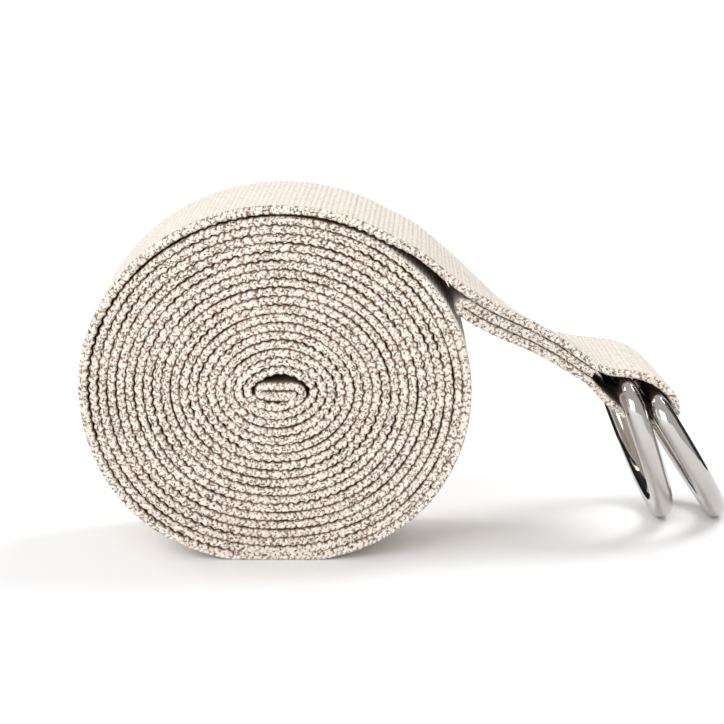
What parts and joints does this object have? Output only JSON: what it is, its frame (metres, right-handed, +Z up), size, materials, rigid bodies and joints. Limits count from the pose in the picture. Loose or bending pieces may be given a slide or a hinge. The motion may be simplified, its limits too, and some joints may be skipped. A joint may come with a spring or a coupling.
{
  "type": "stretching strap",
  "caption": "Cream cotton stretching strap rolled into a coil standing on its edge, its outer end sewn into a loop that holds polished metal D-rings.",
  "frame": {"origin": "middle of the flat that the coil rests on, in the middle of the webbing's width", "axes": "+X from the coil towards the D-rings, +Y along the coil's axis towards the side that the tail sways to, +Z up"},
  "size_m": [0.1312, 0.0639, 0.0706],
  "materials": {
    "webbing": "undyed cream cotton twill webbing, matt",
    "thread": "cream sewing thread, matt",
    "ring_metal": "polished nickel plate, mirror bright"
  },
  "bodies": {
    "coil": {"strap_coil": "webbing", "hem_seam": "thread"},
    "tail": {"strap_tail": "webbing", "loop_seam_upper": "thread", "loop_seam_lower": "thread", "fold_seam_upper": "thread", "fold_seam_lower": "thread"},
    "inner_ring": {"d_ring_inner": "ring_metal"},
    "outer_ring": {"d_ring_outer": "ring_metal"}
  },
  "joints": [
    {"name": "tail_lift", "type": "hinge", "parent": "coil", "child": "tail", "pos_m": [0.02159, 0, 0.06558], "axis": [0, -1, 0], "range_deg": [0, 35]},
    {"name": "inner_ring_swing", "type": "hinge", "parent": "tail", "child": "inner_ring", "pos_m": [0.0692, 0.02, 0.03005], "axis": [0.0698, -0.9976, 0], "range_deg": [-50, 1]},
    {"name": "outer_ring_swing", "type": "hinge", "parent": "tail", "child": "outer_ring", "pos_m": [0.0751, 0.02041, 0.02745], "axis": [0.0698, -0.9976, 0], "range_deg": [0, 170]}
  ]
}
